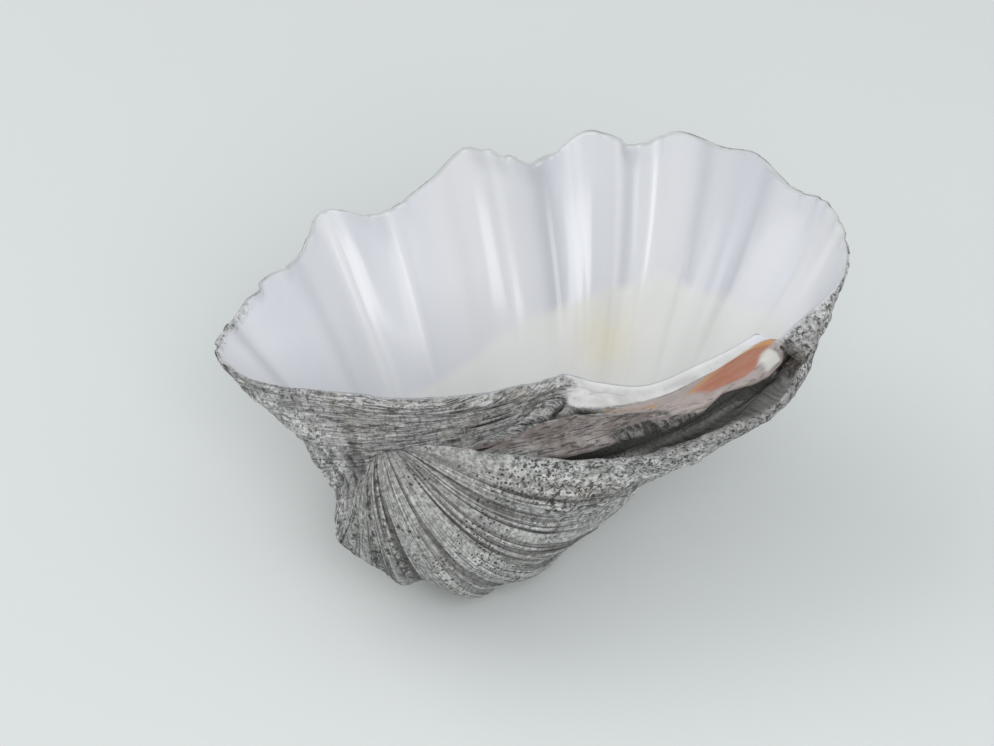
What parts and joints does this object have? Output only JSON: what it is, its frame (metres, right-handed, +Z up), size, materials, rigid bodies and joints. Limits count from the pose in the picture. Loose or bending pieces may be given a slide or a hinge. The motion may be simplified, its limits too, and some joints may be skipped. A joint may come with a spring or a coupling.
{
  "type": "giant clam shell",
  "caption": "Single left valve of a giant clam, a thick ribbed shell lying on its convex outside as an open bowl with a scalloped edge.",
  "frame": {"origin": "on the floor, under the middle of the valve's bounding box", "axes": "+X along the hinge toward the rear end, +Y toward the free scalloped edge, +Z up out of the bowl"},
  "size_m": [0.3162, 0.243, 0.1492],
  "materials": {
    "shell": "porcelain white and glossy inside the bowl, weathered grey and pitted outside, orange-brown stain on the hinge plate"
  },
  "bodies": {
    "root": {"valve": "shell"}
  },
  "joints": []
}
